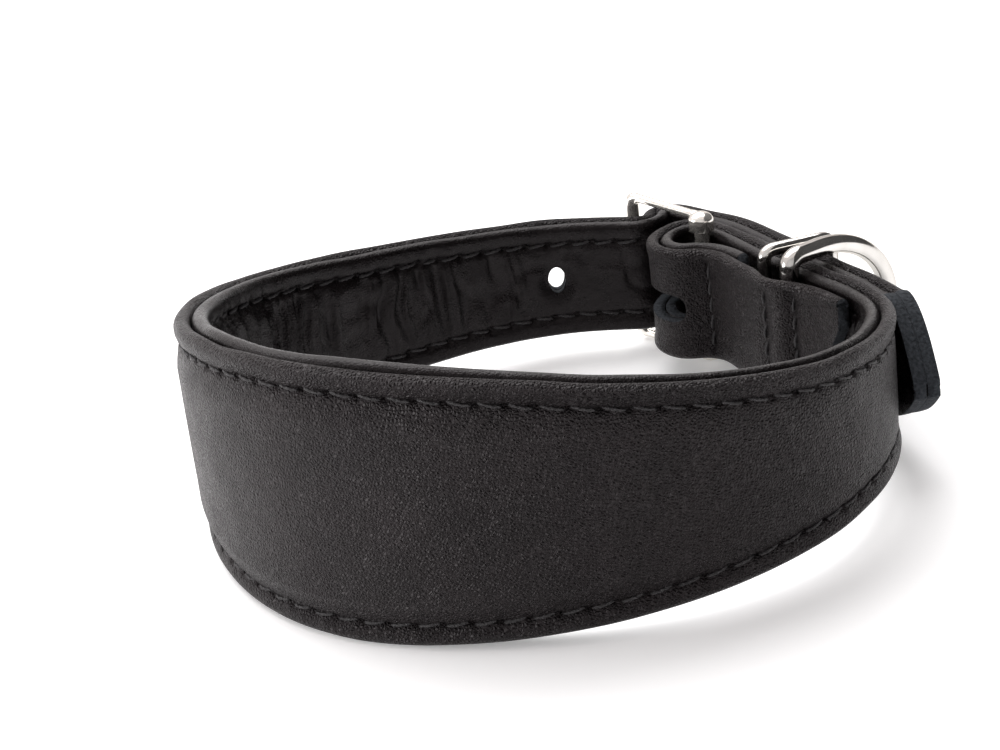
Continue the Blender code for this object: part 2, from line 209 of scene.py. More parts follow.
# ---- the strap's middle line --------------------------------------------------
class Path:
    """A smooth plan curve, read by distance, with outward directions."""

    def __init__(self, points):
        control = np.array(points, float)
        control = np.vstack([2 * control[0] - control[1], control,
                             2 * control[-1] - control[-2]])
        u = (np.arange(40) / 40)[:, None]
        pieces = []
        for index in range(len(control) - 3):
            a, b, c, d = control[index:index + 4]
            pieces.append(((1 - u) ** 3 * a + (3 * u ** 3 - 6 * u ** 2 + 4) * b
                           + (-3 * u ** 3 + 3 * u ** 2 + 3 * u + 1) * c
                           + u ** 3 * d) / 6)
        self.points = np.vstack(pieces + [control[-2][None, :]])
        steps = np.linalg.norm(np.diff(self.points, axis=0), axis=1)
        self.distance = np.concatenate([[0.0], np.cumsum(steps)])
        self.length = self.distance[-1]
        tangent = np.gradient(self.points, self.distance, axis=0)
        tangent /= np.linalg.norm(tangent, axis=1)[:, None]
        self.outward = np.stack([tangent[:, 1], -tangent[:, 0]], axis=1)
        change = np.gradient(self.outward, self.distance, axis=0)
        self.bend = (change * tangent).sum(axis=1)

    def at(self, distance):
        """Plan points and outward directions at the given distances."""
        point = np.stack([np.interp(distance, self.distance, self.points[:, k])
                          for k in (0, 1)], axis=-1)
        outward = np.stack([np.interp(distance, self.distance, self.outward[:, k])
                            for k in (0, 1)], axis=-1)
        return point, outward / np.linalg.norm(outward, axis=-1, keepdims=True)

    def room(self, distance, side):
        """Greatest offset to one side that a bend's inside leaves room for."""
        bend = np.interp(distance, self.distance, self.bend)
        return 0.9 / np.maximum(-side * bend, 0.01)

    def beside(self, before_end, outward):
        point, direction = self.at(self.length - before_end)
        return tuple(point + outward * direction)

    def nearest(self, place, after):
        """Distance along the path of its point nearest a place, past `after`."""
        gaps = np.linalg.norm(self.points - np.array(place), axis=1)
        gaps[self.distance < after] = np.inf
        return float(self.distance[int(np.argmin(gaps))])


CHAPE = Path(NECK_POINTS + CHAPE_POINTS)
STRAP = Path([CHAPE.beside(*place) for place in BILLET_PLACES] + BUCKLE_POINTS
             + NECK_POINTS + CHAPE_POINTS + NOSE_POINTS
             + [CHAPE.beside(*place) for place in FOLD_PLACES])
SEAMS = [STRAP.nearest(CHAPE.beside(place, -7.0), STRAP.length - 60.0)
         for place in SEAM_PLACES]


def bump(distance, reach):
    return ridge(distance - FRONT_PLACE, reach)


def half_width(distance):
    return (STRAP_WIDTH + FRONT_EXTRA * bump(distance, FRONT_REACH)) / 2


def taper(distance, reach, power):
    """How much of the full height a tapered edge has behind the tip, 0 to 1."""
    return 1 - (1 - np.clip(distance / reach, 0, 1)) ** power


def edges(distance):
    """Lower and upper edge heights, and how far each is a raw cut, 0 to 1."""
    half = half_width(distance)
    share = taper(distance, *LOWER_TAPER)
    low = (BILLET_POINT - TIP_HALF) * (1 - share) - half * share
    share = taper(distance, *UPPER_TAPER)
    high = (BILLET_POINT + TIP_HALF) * (1 - share) + half * share
    tail = np.clip((distance - STRAP.length + TAIL_CUT) / TAIL_CUT, 0, 1)
    low = low + tail * half * 1.5
    upper_cut = 1 - ease((distance - UPPER_TAPER[0] - CUT_MARGIN) / CUT_FADE)
    lower_cut = 1 - ease((distance - LOWER_TAPER[0] - CUT_MARGIN) / CUT_FADE)
    tail_cut = ease((distance - STRAP.length + TAIL_CUT + TAIL_MARGIN) / TAIL_MARGIN)
    return low, high, np.maximum(lower_cut, tail_cut), upper_cut


# ---- the leather layers ---------------------------------------------------------
ROLL_ANGLES = np.radians(np.linspace(0, 90, 7))
EDGE_INSETS = np.array([2.3, 2.9, 3.4, 3.8, 4.1, 4.4, 4.7, 5.0, 5.4, 6.0, 6.9, 8.0,
                        PANEL_FLAT])
MIDDLE_SHARES = np.array([0.25, 0.5, 0.75])
INNER_INSETS = np.array([5.0, 9.0])


def face_offset(distance, inset, side, end):
    """How far a layer's face stands out from the strap's middle, in mm.

    `end` is 1 when the inset is measured from the upper edge, -1 from the lower.
    """
    thick = LAYER + LAYER_EXTRA * bump(distance, FRONT_REACH)
    roll = thick + ROLL_PROUD
    swell = PAD_SWELL * bump(distance, PAD_REACH)
    sewn = stretch(distance, *(OUTER_SEWN if side > 0 else LINING_SEWN))
    stitch = STITCH_GROOVE * ridge(inset - STITCH_INSET, 0.8) * sewn
    fall = ease((inset - roll / 2) / (STITCH_INSET - roll / 2))
    panel = ease((inset - STITCH_INSET + 0.4) / 6.0)
    level = roll * (1 - fall) + (thick - PANEL_THIN) * fall
    needle = ridge(((distance / STITCH_PITCH) % 1 - 0.5) * STITCH_PITCH, 0.75)
    needle = NEEDLE_DEPTH * needle * ridge(inset - STITCH_INSET, 0.6) * sewn
    height = end * (half_width(distance) - inset)
    dents = creases(distance, inset, height, side) - pressed(distance, height)
    return LAYER_GAP + level + swell * panel - stitch - needle + dents


def pressed(distance, height):
    """The leather is pressed thinner round each punched hole."""
    depth = 0.0
    for index in range(HOLE_COUNT):
        away = np.hypot(distance - FIRST_HOLE - index * HOLE_PITCH, height)
        beyond = (away - HOLE_RADIUS + HOLE_PRESS_START) / HOLE_PRESS_WIDTH
        depth = depth + HOLE_PRESS * (1 - ease(beyond))
    return depth


def creases(distance, inset, height, side):
    """Slow unevenness, wrinkles of the lining where it is pushed together, seams."""
    away = ease((inset - STITCH_INSET) / 3.0)
    uneven = 0.10 * wander(3 + int(side), distance / 17.0, height / 9.0)
    uneven = uneven + 0.05 * wander(9 + int(side), distance / 5.0, height / 6.0)
    uneven = uneven + 0.07 * (1 - away) * wander(13 + int(side), distance / 1.7, height / 3.0)
    if side < 0:
        warped = distance + 1.3 * wander(21, distance / 11.0, height / 8.0)
        pushed = sum(stretch(distance, *place) for place in WRINKLED)
        fold = np.abs(wander(22, warped / 2.3, height / 26.0)) ** 0.7
        uneven = uneven + pushed * (0.2 + 0.8 * away) * (0.8 - 1.8 * fold)
        line = 1 - ease(np.abs(wander(24, warped / 8.0, height / 7.0)) / 0.20)
        start, fade = CREASED_FROM
        uneven = uneven - CREASE_DEPTH * away * line * ease((distance - start) / fade)
    else:
        for place, (depth, width) in zip(SEAMS, SEAM_SHAPES):
            bowed = distance - place - 0.5 * wander(27, height / 6.0, place)
            uneven = uneven - depth * ridge(bowed, width)
    return uneven


def layer_points(side, distance):
    """World points of closed cross-sections of one layer."""
    low, high, cut_low, cut_high = edges(distance)
    half = (high - low) / 2
    scale = np.minimum(1.0, half / (STRAP_WIDTH / 2))
    thick = LAYER + LAYER_EXTRA * bump(distance, FRONT_REACH)
    roll = thick + ROLL_PROUD
    inner = PAD_SWELL * bump(distance, PAD_REACH)
    columns = []

    def half_profile(cut, end):
        """(offset, inset) columns from the roll's crest to the middle."""
        made = []
        for angle in ROLL_ANGLES:
            round_offset = LAYER_GAP + roll / 2 * (1 + math.sin(angle))
            square_offset = LAYER_GAP + thick / 2 * (1 + min(1.0, 1.35 * math.sin(angle)))
            round_inset = roll / 2 * (1 - math.cos(angle))
            square_inset = 0.25 * (1 - math.cos(angle))
            made.append((round_offset * (1 - cut) + square_offset * cut,
                         round_inset * (1 - cut) + square_inset * cut))
        for inset in EDGE_INSETS:
            raised = face_offset(distance, inset, side, end)
            flat = LAYER_GAP + thick + 0 * distance
            made.append((raised * (1 - cut) + flat * cut, inset * scale))
        start = EDGE_INSETS[-1] * scale
        for share in MIDDLE_SHARES:
            inset = start + share * (half - start)
            raised = face_offset(distance, np.maximum(inset, PANEL_FLAT), side, end)
            made.append((raised, inset))
        return made

    def inner_profile(cut):
        made = []
        for angle in ROLL_ANGLES[1:]:
            round_offset = LAYER_GAP + roll / 2 * (1 - math.sin(angle))
            square_offset = FUSED_GAP + thick / 2 * (1 - min(1.0, 1.35 * math.sin(angle)))
            round_inset = roll / 2 * (1 - math.cos(angle))
            square_inset = 0.25 * (1 - math.cos(angle))
            made.append((round_offset * (1 - cut) + square_offset * cut,
                         round_inset * (1 - cut) + square_inset * cut))
        for inset in INNER_INSETS:
            made.append((LAYER_GAP + inner * ease((inset - 5.0) / 4.0), inset * scale))
        return made

    wave_high = 0.18 * wander(31 + int(side), distance / 9.0)
    wave_low = 0.18 * wander(41 + int(side), distance / 9.0)
    top, bottom = half_profile(cut_high, 1.0), half_profile(cut_low, -1.0)
    top_in, bottom_in = inner_profile(cut_high), inner_profile(cut_low)
    raise_top = (1 - cut_high) * wave_high
    raise_low = (1 - cut_low) * wave_low
    for offset, inset in top:
        columns.append((offset, high - inset + raise_top))
    columns.append((face_offset(distance, np.maximum(half, PANEL_FLAT), side, 1.0),
                    (high + low) / 2))
    for offset, inset in reversed(bottom):
        columns.append((offset, low + inset + raise_low))
    for offset, inset in bottom_in:
        columns.append((offset, low + inset + raise_low))
    for offset, inset in reversed(top_in):
        columns.append((offset, high - inset + raise_top))
    offsets = np.stack([column[0] for column in columns], axis=1)
    offsets = np.minimum(offsets, STRAP.room(distance, side)[:, None])
    heights = np.stack([column[1] for column in columns], axis=1)
    point, outward = STRAP.at(distance)
    middle = middle_height(point[:, 0], point[:, 1])
    x = point[:, :1] + side * offsets * outward[:, :1]
    y = point[:, 1:] + side * offsets * outward[:, 1:]
    return to_world(x, y, middle[:, None] + heights)


def skin(name, rings, finishes, loop=False, slots=None, smooth=True):
    """A closed object skinned over a (stations, points, 3) array."""
    rings = np.asarray(rings)
    stations, count = rings.shape[:2]
    spans = stations if loop else stations - 1
    first = np.arange(spans)[:, None] * count + np.arange(count)[None, :]
    after = np.arange(spans)[:, None] * count + (np.arange(count)[None, :] + 1) % count
    quads = np.stack([first, after, (after + count) % (stations * count),
                      (first + count) % (stations * count)], axis=-1).reshape(-1, 4)
    faces = quads.tolist()
    if not loop:
        faces.append(list(range(count))[::-1])
        faces.append(list(range((stations - 1) * count, stations * count)))
    return solid(name, rings.reshape(-1, 3), faces, finishes, slots, smooth)


def solid(name, points, faces, finishes, slots=None, smooth=True):
    mesh = bpy.data.meshes.new(name)
    mesh.from_pydata(np.asarray(points).tolist(), [], faces)
    for finish in finishes:
        mesh.materials.append(finish)
    if slots is not None:
        mesh.polygons.foreach_set("material_index", slots)
    if signed_volume(mesh) < 0:
        mesh.flip_normals()
    mesh.polygons.foreach_set("use_smooth", [smooth] * len(mesh.polygons))
    mesh.update()
    made = bpy.data.objects.new(name, mesh)
    bpy.context.scene.collection.objects.link(made)
    return made


def signed_volume(mesh):
    mesh.calc_loop_triangles()
    points = np.zeros(len(mesh.vertices) * 3)
    mesh.vertices.foreach_get("co", points)
    corners = np.zeros(len(mesh.loop_triangles) * 3, int)
    mesh.loop_triangles.foreach_get("vertices", corners)
    a, b, c = np.moveaxis(points.reshape(-1, 3)[corners].reshape(-1, 3, 3), 1, 0)
    return float(np.einsum("ij,ij->", a, np.cross(b, c)))


def attach(piece, body, slot_name, *nodes):
    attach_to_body(piece, body)
    if nodes:
        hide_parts(*nodes)
    return piece


# ---- materials ------------------------------------------------------------------
class Nodes:
    """A short way to build one material's node tree."""

    def __init__(self, name):
        self.material = bpy.data.materials.new(name)
        self.material.use_nodes = True
        self.tree = self.material.node_tree
        self.shader = self.tree.nodes["Principled BSDF"]
        self.place = self.add("ShaderNodeTexCoord").outputs["Object"]

    def add(self, kind, **settings):
        node = self.tree.nodes.new(kind)
        for key, value in settings.items():
            if key in node.inputs:
                node.inputs[key].default_value = value
            else:
                setattr(node, key, value)
        return node

    def link(self, source, target):
        self.tree.links.new(source, target)

    def noise(self, scale, detail=2.0):
        node = self.add("ShaderNodeTexNoise")
        node.inputs["Scale"].default_value = scale
        node.inputs["Detail"].default_value = detail
        self.link(self.place, node.inputs["Vector"])
        return node.outputs["Fac"]

    def cells(self, scale, feature="DISTANCE_TO_EDGE"):
        node = self.add("ShaderNodeTexVoronoi", feature=feature)
        node.inputs["Scale"].default_value = scale
        self.link(self.place, node.inputs["Vector"])
        return node.outputs["Distance"]

    def spread(self, value, from_low, from_high, to_low, to_high):
        node = self.add("ShaderNodeMapRange")
        for key, number in (("From Min", from_low), ("From Max", from_high),
                            ("To Min", to_low), ("To Max", to_high)):
            node.inputs[key].default_value = number
        self.link(value, node.inputs["Value"])
        return node.outputs["Result"]

    def maths(self, operation, first, second):
        node = self.add("ShaderNodeMath", operation=operation)
        for socket, value in zip(node.inputs, (first, second)):
            if isinstance(value, (int, float)):
                socket.default_value = value
            else:
                self.link(value, socket)
        return node.outputs[0]

    def ramp(self, value, dark, light, low=0.0, high=1.0):
        node = self.add("ShaderNodeValToRGB")
        node.color_ramp.elements[0].color = (*dark, 1)
        node.color_ramp.elements[1].color = (*light, 1)
        node.color_ramp.elements[0].position = low
        node.color_ramp.elements[1].position = high
        self.link(value, node.inputs["Fac"])
        return node.outputs["Color"]

    def relief(self, height, distance, strength=1.0, below=None):
        node = self.add("ShaderNodeBump")
        node.inputs["Strength"].default_value = strength
        node.inputs["Distance"].default_value = distance
        self.link(height, node.inputs["Height"])
        if below is not None:
            self.link(below, node.inputs["Normal"])
        return node.outputs["Normal"]


def leather(name, dark, light, rough, grain, creasing, shine):
    """Nappa: small pebbled grain, slow tone changes, soft uneven gloss."""
    made = Nodes(name)
    made.shader.inputs["Specular IOR Level"].default_value = shine
    made.shader.inputs["Specular Tint"].default_value = (1.0, 0.93, 0.95, 1)
    tone = made.noise(90.0, 3.0)
    made.link(made.ramp(tone, dark, light, 0.35, 0.72), made.shader.inputs["Base Color"])
    pebble = made.spread(made.cells(1500.0), 0.0, 0.45, 0.0, 1.0)
    fine = made.noise(4200.0, 2.0)
    slow = made.noise(420.0, 3.0)
    gloss = made.maths("ADD", made.spread(made.noise(160.0, 3.0), 0.3, 0.7, rough - 0.05,
                                          rough + 0.06),
                       made.spread(fine, 0.3, 0.7, -0.05, 0.05))
    made.link(gloss, made.shader.inputs["Roughness"])
    first = made.relief(slow, 0.0010, creasing)
    second = made.relief(pebble, 0.00046, grain, first)
    made.link(made.relief(fine, 0.00012, 0.6, second), made.shader.inputs["Normal"])
    return made.material


def cut_edge_leather():
    """Raw cut edge: matt, slightly grey and fibrous."""
    made = Nodes("cut_edge_leather")
    made.shader.inputs["Specular IOR Level"].default_value = 0.2
    made.shader.inputs["Roughness"].default_value = 0.85
    fibre = made.noise(1500.0, 4.0)
    made.link(made.ramp(fibre, (0.012, 0.014, 0.017), (0.045, 0.050, 0.058), 0.3, 0.75),
              made.shader.inputs["Base Color"])
    made.link(made.relief(fibre, 0.0006, 0.9), made.shader.inputs["Normal"])
    return made.material


def thread_material():
    made = Nodes("waxed_thread")
    made.shader.inputs["Roughness"].default_value = 0.5
    made.shader.inputs["Specular IOR Level"].default_value = 0.35
    twist = made.noise(3200.0, 2.0)
    made.link(made.ramp(twist, (0.008, 0.007, 0.008), (0.040, 0.037, 0.039), 0.35, 0.7),
              made.shader.inputs["Base Color"])
    made.link(made.relief(twist, 0.0004, 0.8), made.shader.inputs["Normal"])
    return made.material


def nickel_material(name, dark, light, metal, rough):
    """Nickel plate on a casting, polished; a lighter, partly matt copy is painted light,
    standing in for the brighter shine that the buckle frame catches.
    """
    made = Nodes(name)
    made.shader.inputs["Metallic"].default_value = metal
    made.shader.inputs["Specular Tint"].default_value = (0.62, 0.60, 0.57, 1)
    slow = made.noise(160.0, 2.0)
    made.link(made.ramp(slow, dark, light, 0.3, 0.7), made.shader.inputs["Base Color"])
    made.link(made.spread(made.noise(900.0, 3.0), 0.3, 0.7, rough - 0.04, rough + 0.05),
              made.shader.inputs["Roughness"])
    made.link(made.relief(slow, 0.0004, 0.15), made.shader.inputs["Normal"])
    return made.material


def felt_material():
    made = Nodes("padding_felt")
    made.shader.inputs["Roughness"].default_value = 0.95
    fibre = made.noise(1800.0, 4.0)
    made.link(made.ramp(fibre, (0.16, 0.16, 0.17), (0.34, 0.34, 0.35), 0.3, 0.7),
              made.shader.inputs["Base Color"])
    made.link(made.relief(fibre, 0.0008, 0.8), made.shader.inputs["Normal"])
    return made.material


GRAIN = leather("grain_leather", (0.0048, 0.0036, 0.0040), (0.0100, 0.0076, 0.0082),
                0.42, 1.00, 0.16, 0.27)
LINING = leather("lining_leather", (0.0024, 0.0017, 0.0018), (0.0050, 0.0036, 0.0038),
                 0.29, 0.20, 0.25, 0.18)
CUT_EDGE = cut_edge_leather()
THREAD = thread_material()
NICKEL = nickel_material("nickel_plate", (0.56, 0.545, 0.52), (0.68, 0.665, 0.64), 1.0, 0.14)
# The buckle frame's nickel: the same plate as above, painted lighter and partly matt as a
# painted highlight for the brighter light the frame catches.
NICKEL_PAINTED_BRIGHT = nickel_material("nickel_painted_bright", (0.84, 0.81, 0.76), (0.92, 0.89, 0.84), 0.85, 0.15)


# ---- leather pieces ----------------------------------------------------------------
def rod(name, start, end, radius, finish, sides=28, wide=None):
    """A bar between two world points in metres; `wide` is a level oval's half width."""
    start, end = np.array(start, float), np.array(end, float)
    axis = unit(end - start)
    reference = (0, 0, 1) if wide else (0.31, 0.17, 0.93)
    side = unit(np.cross(axis, reference))
    up = np.cross(side, axis)
    angles = np.arange(sides) * 2 * math.pi / sides
    across = (wide or radius) * MM * np.cos(angles)[:, None] * side
    ring = across + radius * MM * np.sin(angles)[:, None] * up
    return skin(name, [start + ring, end + ring], [finish])


def level_point(plan, height):
    return to_world(plan[0], plan[1], height)


def frame_axes():
    """Unit plan directions: outer bar to heel bar, and outward from the strap."""
    along = unit(np.array(HEEL_BAR) - np.array(OUTER_BAR))
    return along, np.array([-along[1], along[0]])


def prong_line():
    outward = frame_axes()[1]
    rest = OUTER_RADIUS + PRONG_RADIUS + 0.3
    return np.array(HEEL_BAR) + 0.4 * outward, np.array(OUTER_BAR) + rest * outward


def slot_cutter(name, centre, along, half_along, half_across, middle):
    """An upright slot tool with rounded top and bottom."""
    across = np.array([along[1], -along[0]])
    angles = np.arange(24) * 2 * math.pi / 24
    outline = [(half_along * np.sign(math.cos(a)) * abs(math.cos(a)) ** 0.35,
                SLOT_HALF_HEIGHT * np.sign(math.sin(a)) * abs(math.sin(a)) ** 0.75)
               for a in angles]
    rings = []
    for level in (-half_across, half_across):
        plan = [np.array(centre) + a * along + level * across for a, _ in outline]
        rings.append([to_world(p[0], p[1], middle + z) for p, (_, z) in zip(plan, outline)])
    return skin(name, rings, [CUT_EDGE])


def leather_cutters():
    tools = []
    for index in range(HOLE_COUNT):
        if index == PRONG_HOLE:
            continue
        point, outward = STRAP.at(FIRST_HOLE + index * HOLE_PITCH)
        height = middle_height(*point)
        tools.append(rod(f"cut_hole_{index}", level_point(point - 4.0 * outward, height),
                         level_point(point + 4.0 * outward, height), HOLE_HALF_HEIGHT,
                         CUT_EDGE, wide=HOLE_HALF_WIDTH))
    along, outward = frame_axes()
    start, end = prong_line()
    direction = unit(end - start)
    middle = middle_height(*HEEL_BAR)
    tools.append(rod("cut_prong_hole", level_point(start + 12.2 * direction, middle),
                     level_point(start + 26.2 * direction, middle), HOLE_RADIUS,
                     CUT_EDGE))
    for name, place, size in (("nose", (-6.5, -4.0), (5.0, 9.5)),
                              ("front", (-1.05, -10.5), (6.95, 3.5)),
                              ("back", (-1.6, 3.7), (3.2, 3.7))):
        centre = np.array(HEEL_BAR) + place[0] * along + place[1] * outward
        tools.append(slot_cutter(f"cut_slot_{name}", centre, along, *size, middle))
    rise = SLOT_HALF_HEIGHT * np.array((0, 0, MM))
    heel = level_point(HEEL_BAR, middle)
    tools.append(rod("cut_slot_loop", heel - rise, heel + rise, LOOP_RADIUS + 0.3, CUT_EDGE))
    return tools


def cut_through(piece, tools):
    """Cut the tools out of the piece and keep the resulting mesh."""
    for tool in tools:
        change = piece.modifiers.new(tool.name, "BOOLEAN")
        change.object = tool
        change.operation = "DIFFERENCE"
        change.solver = "EXACT"
        change.material_mode = "TRANSFER"
    bpy.context.view_layer.update()
    depsgraph = bpy.context.evaluated_depsgraph_get()
    mesh = bpy.data.meshes.new_from_object(piece.evaluated_get(depsgraph))
    piece.modifiers.clear()
    piece.data = mesh


def raw_slots(distance, count):
    """Material index of each face of a layer: 1 on raw cut edges."""
    _, _, cut_low, cut_high = edges(distance)
    half = len(ROLL_ANGLES)
    inner = len(ROLL_ANGLES) - 1
    side_count = half + len(EDGE_INSETS) + len(MIDDLE_SHARES)
    slots = np.zeros((len(distance) - 1, count), int)
    raw_high = (cut_high[:-1] > 0.5)[:, None]
    raw_low = (cut_low[:-1] > 0.5)[:, None]
    column = np.arange(count)[None, :]
    top = (column < half - 2) | (column >= count - inner + 1)
    crest_low = 2 * side_count
    bottom = (column > crest_low - half + 1) & (column < crest_low + inner - 1)
    slots[np.broadcast_to(top & raw_high, slots.shape)] = 1
    slots[np.broadcast_to(bottom & raw_low, slots.shape)] = 1
    return np.concatenate([slots.reshape(-1), [1, 1]])


def make_layer(name, side, end, finish):
    stations = np.linspace(0.0, end, int(end / STATION_STEP) + 1)
    rings = layer_points(side, stations)
    return skin(name, rings, [finish, CUT_EDGE], slots=raw_slots(stations, rings.shape[1]))


def make_leather():
    outer = make_layer("outer_layer", 1.0, STRAP.length, GRAIN)
    lining = make_layer("lining_layer", -1.0, STRAP.length - LINING_END, LINING)
    tools = leather_cutters()
    for piece in (outer, lining):
        cut_through(piece, tools)
    for tool in tools:
        bpy.data.objects.remove(tool, do_unlink=True)
    attach(outer, "strap", "grain_leather", "outer_leather")
    attach(lining, "strap", "lining_leather", "lining_leather")


def make_padding():
    """The felt core between the layers, rounded towards its edges."""
    reach = PAD_REACH * 1.25
    distance = np.linspace(FRONT_PLACE - reach, FRONT_PLACE + reach, 160)
    half = half_width(distance) - 8.5
    depth = PAD_SWELL * bump(distance, PAD_REACH) - 0.1
    angles = np.arange(28) * 2 * math.pi / 28
    outline = [(np.sign(math.sin(a)) * abs(math.sin(a)) ** 0.4,
                np.sign(math.cos(a)) * abs(math.cos(a)) ** 0.6) for a in angles]
    point, outward = STRAP.at(distance)
    middle = middle_height(point[:, 0], point[:, 1])
    rings = []
    for across, up in outline:
        x = point[:, 0] + depth * across * outward[:, 0]
        y = point[:, 1] + depth * across * outward[:, 1]
        rings.append(to_world(x, y, middle + half * up))
    core = skin("padding_core", np.stack(rings, axis=1), [felt_material()])
    attach(core, "strap", "foam", "front_padding")


# ---- stitching --------------------------------------------------------------------
def stitch_mesh(name, lines):
    """One object of many short two-ply stitches; lines is a list of (n, 3) points."""
    points, faces = [], []
    sides = 9
    angles = np.arange(sides) * 2 * math.pi / sides
    for line in lines:
        line = np.asarray(line)
        tangent = np.gradient(line, axis=0)
        tangent /= np.linalg.norm(tangent, axis=1)[:, None]
        side = np.cross(tangent, (0.2, 0.1, 0.97))
        side /= np.linalg.norm(side, axis=1)[:, None]
        up = np.cross(side, tangent)
        base = sum(len(p) for p in points)
        turn = np.arange(len(line))[:, None] * TWIST_STEP
        radius = THREAD_RADIUS * MM * (1 + TWIST * np.cos(2 * (angles[None, :] + turn)))
        ring = radius[..., None] * (np.cos(angles)[None, :, None] * side[:, None, :]
                                    + np.sin(angles)[None, :, None] * up[:, None, :])
        points.append((line[:, None, :] + ring).reshape(-1, 3))
        for station in range(len(line) - 1):
            for index in range(sides):
                after = (index + 1) % sides
                a = base + station * sides
                faces.append((a + index, a + after, a + sides + after, a + sides + index))
        faces.append([base + index for index in range(sides)][::-1])
        last = base + (len(line) - 1) * sides
        faces.append([last + index for index in range(sides)])
    return solid(name, np.vstack(points), faces, [THREAD])


def edge_stitches(name, side, upper, start, end, node):
    first = math.ceil(start / STITCH_PITCH - 0.5)
    last = math.floor(end / STITCH_PITCH - 0.5)
    t = np.linspace(0, 1, 17)
    arch = np.sin(math.pi * t) ** 0.6
    end = 1.0 if upper else -1.0
    lines = []
    for index in range(first, last):
        begin = (index + 0.5) * STITCH_PITCH
        distance = begin + STITCH_PITCH * ((1 - STITCH_SHARE) / 2 + t * STITCH_SHARE)
        low, high, _, _ = edges(distance)
        inset = STITCH_INSET + STITCH_SLANT * (2 * t - 1)
        floor_of_groove = face_offset(np.full_like(t, begin + STITCH_PITCH / 2),
                                      STITCH_INSET, side, end)
        rise = (THREAD_SUNK + THREAD_RADIUS * 0.45) * arch
        offset = floor_of_groove - THREAD_SUNK + rise
        height = high - inset if upper else low + inset
        point, outward = STRAP.at(distance)
        middle = middle_height(point[:, 0], point[:, 1])
        lines.append(to_world(point[:, 0] + side * offset * outward[:, 0],
                              point[:, 1] + side * offset * outward[:, 1],
                              middle + height))
    attach(stitch_mesh(name, lines), "strap", "thread", node)


def seam_stitches(name, distance, valley, node):
    """An upright row of stitches sunk in one of the fold's seams."""
    point, outward = STRAP.at(distance)
    middle = middle_height(*point)
    t = np.linspace(0, 1, 15)
    arch = np.sin(math.pi * t) ** 0.6
    half = STRAP_WIDTH / 2 - 2.8
    pitch = 2 * half / SEAM_STITCHES
    lines = []
    for index in range(SEAM_STITCHES):
        height = -half + (index + 0.08 + t * 0.84) * pitch
        depth = LAYER_GAP + LAYER - valley
        offset = depth - THREAD_SUNK + (THREAD_SUNK + THREAD_RADIUS * 0.6) * arch
        lean = 0.25 * (2 * t - 1)
        tangent = np.array([-outward[1], outward[0]])
        x = point[0] + offset * outward[0] + lean * tangent[0]
        y = point[1] + offset * outward[1] + lean * tangent[1]
        lines.append(to_world(x, y, middle + height))
    attach(stitch_mesh(name, lines), "strap", "thread", node)


def make_stitching():
    for face, side, reach in (("outer", 1.0, OUTER_STITCHES),
                              ("lining", -1.0, LINING_STITCHES)):
        for edge, upper in (("upper", True), ("lower", False)):
            edge_stitches(f"{face}_{edge}_stitches", side, upper, *reach,
                          f"{face}_{edge}_thread")
    for label, distance, (valley, _) in zip(("buckle", "keeper", "ring"), SEAMS, SEAM_SHAPES):
        seam_stitches(f"{label}_seam_stitches", distance, valley, f"{label}_seam")


# ---- metal ------------------------------------------------------------------------
def upright_loop(name, bar, aim, outline, radii, sides=20, finish=NICKEL):
    """A closed wire loop in the upright plane that leaves `bar` towards `aim`."""
    outline = np.array(outline, float)
    before, after = np.roll(outline, 1, axis=0), np.roll(outline, -1, axis=0)
    tangent = after - before
    tangent /= np.linalg.norm(tangent, axis=1)[:, None]
    normal = np.stack([tangent[:, 1], -tangent[:, 0]], axis=1)
    along = np.array([math.cos(aim), math.sin(aim)])
    across = np.array([-along[1], along[0]])
    angles = np.arange(sides) * 2 * math.pi / sides
    radii = np.asarray(radii, float)[:, None]
    flat = outline[:, None, :] + (radii * np.cos(angles))[..., None] * normal[:, None, :]
    sideways = radii * np.sin(angles)
    x = bar[0] + along[0] * flat[..., 0] + across[0] * sideways
    y = bar[1] + along[1] * flat[..., 0] + across[1] * sideways
    rings = to_world(x, y, middle_height(x, y) + flat[..., 1])
    return skin(name, rings, [finish], loop=True)


def rounded_outline(corners, radius, corner_steps=8, straight_steps=10):
    points = []
    count = len(corners)
    for index in range(count):
        before, here, after = (np.array(corners[(index + k) % count], float)
                               for k in (-1, 0, 1))
        start = here + radius * unit(before - here)
        end = here + radius * unit(after - here)
        for step in range(corner_steps):
            u = step / corner_steps
            points.append((1 - u) ** 2 * start + 2 * u * (1 - u) * here + u ** 2 * end)
        following = after + radius * unit(here - after)
        for step in range(straight_steps):
            points.append(end + (following - end) * step / straight_steps)
    return np.array(points)


def make_frame():
    length = float(np.linalg.norm(np.array(HEEL_BAR) - np.array(OUTER_BAR)))
    half = FRAME_HALF_HEIGHT
    outline = rounded_outline([(0, -half), (0, half), (length, half), (length, -half)],
                              FRAME_CORNER)
    away = outline[:, 0]
    radii = FRAME_RADIUS + (HEEL_RADIUS - FRAME_RADIUS) * (1 - ease((away - 0.5) / 2.5))
    near_outer = 1 - ease((length - away - 0.5) / 2.5)
    radii = radii + (OUTER_RADIUS - FRAME_RADIUS) * near_outer
    aim = math.atan2(OUTER_BAR[1] - HEEL_BAR[1], OUTER_BAR[0] - HEEL_BAR[0])
    # The frame takes the lighter nickel, painted bright as a painted highlight.
    made = upright_loop("buckle_frame_cast", HEEL_BAR, aim, outline, radii, finish=NICKEL_PAINTED_BRIGHT)
    attach(made, "buckle", "nickel", "buckle_frame")
    for name, sign in (("upper", 1.0), ("lower", -1.0)):
        attach(heel_post(f"{name}_heel_post", sign), "buckle", "nickel")


